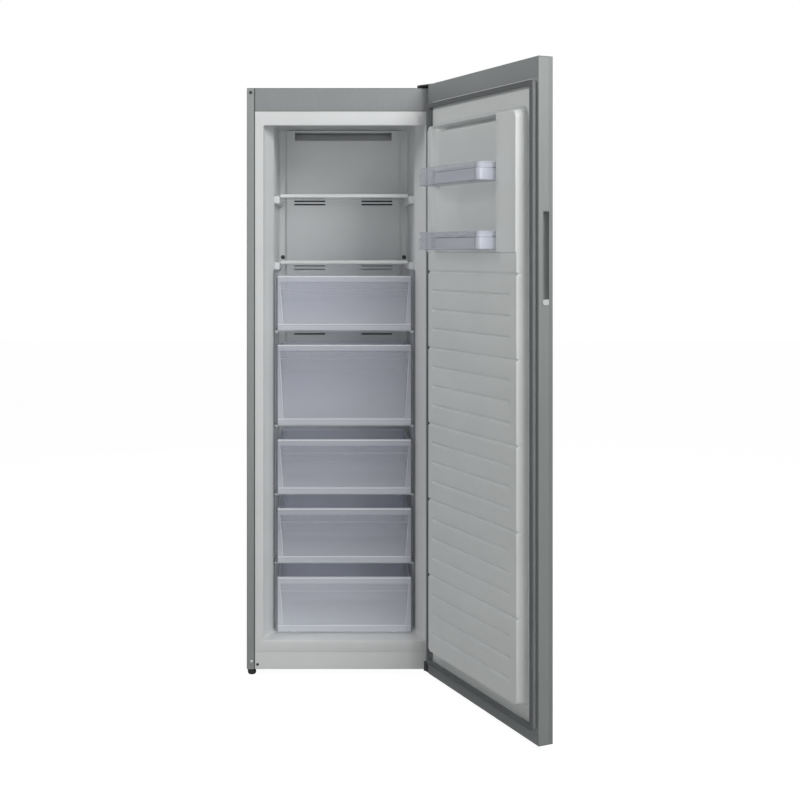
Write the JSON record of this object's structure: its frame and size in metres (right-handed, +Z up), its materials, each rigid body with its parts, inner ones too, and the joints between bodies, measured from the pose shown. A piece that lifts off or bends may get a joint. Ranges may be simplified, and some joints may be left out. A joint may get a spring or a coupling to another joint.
{
  "type": "upright freezer",
  "caption": "Free-standing frost-free upright freezer with its right-hinged door open on glass shelves, translucent drawers and door racks.",
  "frame": {"origin": "on the floor, under the middle of the bounding box with the door open as in the picture", "axes": "+X to the right, +Y from the cabinet's front to its back, +Z up; the cabinet's front plane faces -Y"},
  "size_m": [0.829, 1.1726, 1.7989],
  "materials": {
    "steel_shell": "satin grey metallic",
    "band": "satin grey",
    "zinc": "galvanised",
    "black_metal": "semi-matt black",
    "liner": "satin white",
    "foam": "rigid foam",
    "black_plastic": "moulded",
    "aluminium": "mill",
    "clear_glass": "toughened, clear",
    "drawer_plastic": "translucent blue-grey",
    "seal": "soft grey"
  },
  "bodies": {
    "cabinet": {"left_side_panel": "steel_shell", "right_side_panel": "steel_shell", "top_cover": "band", "rear_panel": "zinc", "base_frame": "black_metal", "plinth": "liner", "inner_liner": "liner", "foam_left": "foam", "foam_right": "foam", "foam_core": "foam", "control_module": "black_plastic", "evaporator_cover": "liner", "evaporator": "aluminium", "defrost_heater": "aluminium", "fan_motor": "black_plastic", "drain_tube": "black_plastic", "compressor": "black_metal", "evaporating_tray": "black_plastic", "condenser": "black_metal", "mains_inlet": "black_plastic", "upper_hinge_bracket": "black_metal", "upper_hinge_pin": "zinc", "lower_hinge_bracket": "black_metal", "lower_hinge_pin": "zinc", "rear_axle": "zinc", "divider_glass_1": "clear_glass", "divider_glass_2": "clear_glass", "divider_glass_3": "clear_glass", "divider_glass_4": "clear_glass"},
    "door": {"door_skin": "steel_shell", "door_edge_free": "steel_shell", "door_edge_hinge": "steel_shell", "door_top_cap": "steel_shell", "door_bottom_cap": "steel_shell", "door_foam": "foam", "door_liner": "liner", "door_gasket": "seal", "upper_hinge_bush": "black_plastic", "lower_hinge_bush": "black_plastic"},
    "rack_1": {"door_rack_1": "drawer_plastic"},
    "rack_2": {"door_rack_2": "drawer_plastic"},
    "shelf_1": {"shelf_glass_1": "clear_glass", "shelf_trim_1": "liner"},
    "shelf_2": {"shelf_glass_2": "clear_glass", "shelf_trim_2": "liner"},
    "drawer_1": {"drawer_front_1": "drawer_plastic", "drawer_tub_1": "drawer_plastic"},
    "drawer_2": {"drawer_front_2": "drawer_plastic", "drawer_tub_2": "drawer_plastic"},
    "drawer_3": {"drawer_front_3": "drawer_plastic", "drawer_tub_3": "drawer_plastic"},
    "drawer_4": {"drawer_front_4": "drawer_plastic", "drawer_tub_4": "drawer_plastic"},
    "drawer_5": {"drawer_front_5": "drawer_plastic", "drawer_tub_5": "drawer_plastic"},
    "foot_left": {"front_foot_left": "black_plastic"},
    "foot_right": {"front_foot_right": "black_plastic"},
    "roller_left": {"rear_roller_left": "black_plastic"},
    "roller_right": {"rear_roller_right": "black_plastic"},
    "fan": {"fan_impeller": "liner"}
  },
  "joints": [
    {"name": "door_hinge", "type": "hinge", "parent": "cabinet", "child": "door", "pos_m": [0.16566, -0.04457, 0.9], "axis": [0, 0, 1], "range_deg": [-113.8, 6.2]},
    {"name": "rack_1_lift", "type": "slide", "parent": "door", "child": "rack_1", "axis": [0, 0, 1], "range_m": [0, 0.06]},
    {"name": "rack_2_lift", "type": "slide", "parent": "door", "child": "rack_2", "axis": [0, 0, 1], "range_m": [0, 0.06]},
    {"name": "shelf_1_slide", "type": "slide", "parent": "cabinet", "child": "shelf_1", "axis": [0, -1, 0], "range_m": [0, 0.3]},
    {"name": "shelf_2_slide", "type": "slide", "parent": "cabinet", "child": "shelf_2", "axis": [0, -1, 0], "range_m": [0, 0.3]},
    {"name": "drawer_1_slide", "type": "slide", "parent": "cabinet", "child": "drawer_1", "axis": [0, -1, 0], "range_m": [0, 0.33]},
    {"name": "drawer_2_slide", "type": "slide", "parent": "cabinet", "child": "drawer_2", "axis": [0, -1, 0], "range_m": [0, 0.33]},
    {"name": "drawer_3_slide", "type": "slide", "parent": "cabinet", "child": "drawer_3", "axis": [0, -1, 0], "range_m": [0, 0.33]},
    {"name": "drawer_4_slide", "type": "slide", "parent": "cabinet", "child": "drawer_4", "axis": [0, -1, 0], "range_m": [0, 0.33]},
    {"name": "drawer_5_slide", "type": "slide", "parent": "cabinet", "child": "drawer_5", "axis": [0, -1, 0], "range_m": [0, 0.33]},
    {"name": "foot_left_turn", "type": "hinge", "parent": "cabinet", "child": "foot_left", "pos_m": [-0.39954, 0.01433, 0.01], "axis": [0, 0, 1], "range_deg": [-360, 1080]},
    {"name": "foot_right_turn", "type": "hinge", "parent": "cabinet", "child": "foot_right", "pos_m": [0.16546, 0.01433, 0.01], "axis": [0, 0, 1], "range_deg": [-360, 1080]},
    {"name": "roller_left_spin", "type": "hinge", "parent": "cabinet", "child": "roller_left", "pos_m": [-0.36504, 0.54133, 0.012], "axis": [1, 0, 0], "continuous": true},
    {"name": "roller_right_spin", "type": "hinge", "parent": "cabinet", "child": "roller_right", "pos_m": [0.13096, 0.54133, 0.012], "axis": [1, 0, 0], "continuous": true},
    {"name": "fan_spin", "type": "hinge", "parent": "cabinet", "child": "fan", "pos_m": [-0.11704, 0.45333, 1.6], "axis": [0, 1, 0], "continuous": true}
  ]
}
